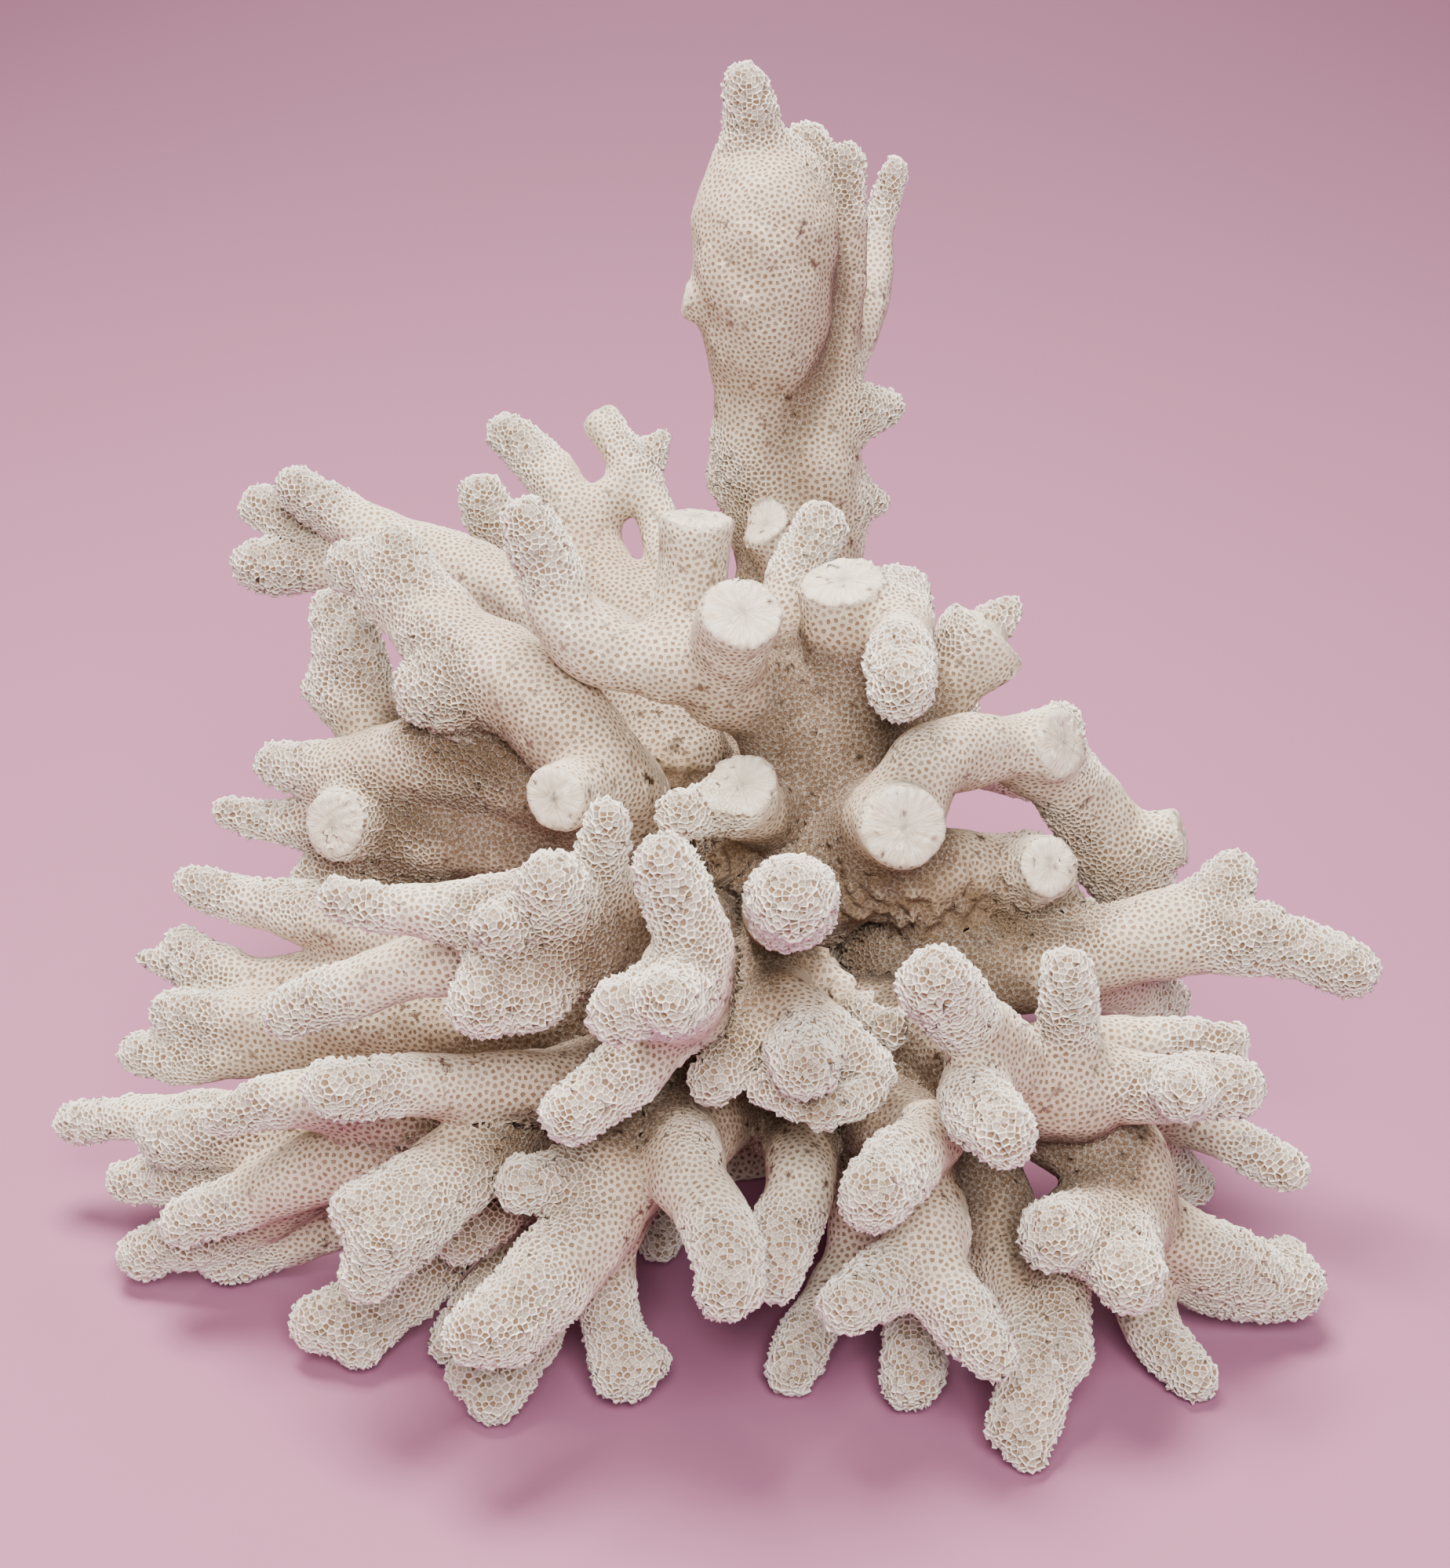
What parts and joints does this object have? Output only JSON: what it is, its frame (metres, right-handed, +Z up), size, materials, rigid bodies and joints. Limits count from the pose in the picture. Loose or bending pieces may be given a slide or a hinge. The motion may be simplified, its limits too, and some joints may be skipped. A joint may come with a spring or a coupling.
{
  "type": "branching coral",
  "caption": "Bleached branching coral colony: blunt forked fingers fan out from a short holdfast cut flat, with one tall flattened spire behind and a few fingers broken off short.",
  "frame": {"origin": "centre of the flat cut under the holdfast, which is the face the colony stands on", "axes": "+Z up out of the cut, +X to the right and -Y to the front, the side that the curled and lowest boughs point to; the spire stands at the back"},
  "size_m": [0.199, 0.1792, 0.1603],
  "materials": {
    "skeleton": "matte, porous"
  },
  "bodies": {
    "root": {"holdfast": "skeleton", "spire": "skeleton", "right_front_bough": "skeleton", "front_left_bough": "skeleton", "centre_foot_bough": "skeleton", "upper_right_bough": "skeleton", "crown_bough": "skeleton", "upper_left_bough": "skeleton", "left_rear_bough": "skeleton", "rear_left_bough": "skeleton", "left_shelf_bough": "skeleton", "ragged_bough": "skeleton", "left_fan_bough": "skeleton", "left_low_bough": "skeleton", "left_long_bough": "skeleton", "left_foot_bough": "skeleton", "curled_bough": "skeleton", "centre_bough": "skeleton", "heart_finger": "skeleton", "hub_arm": "skeleton", "right_loop_bough": "skeleton", "right_long_bough": "skeleton", "ridge_bough": "skeleton", "arch_bough": "skeleton", "right_foot_bough": "skeleton", "lower_right_bough": "skeleton", "far_foot_bough": "skeleton", "rear_centre_bough": "skeleton", "rear_right_bough": "skeleton", "rear_left_low_bough": "skeleton", "rear_low_bough": "skeleton", "rear_upper_right_bough": "skeleton", "rear_left_mid_bough": "skeleton"}
  },
  "joints": []
}
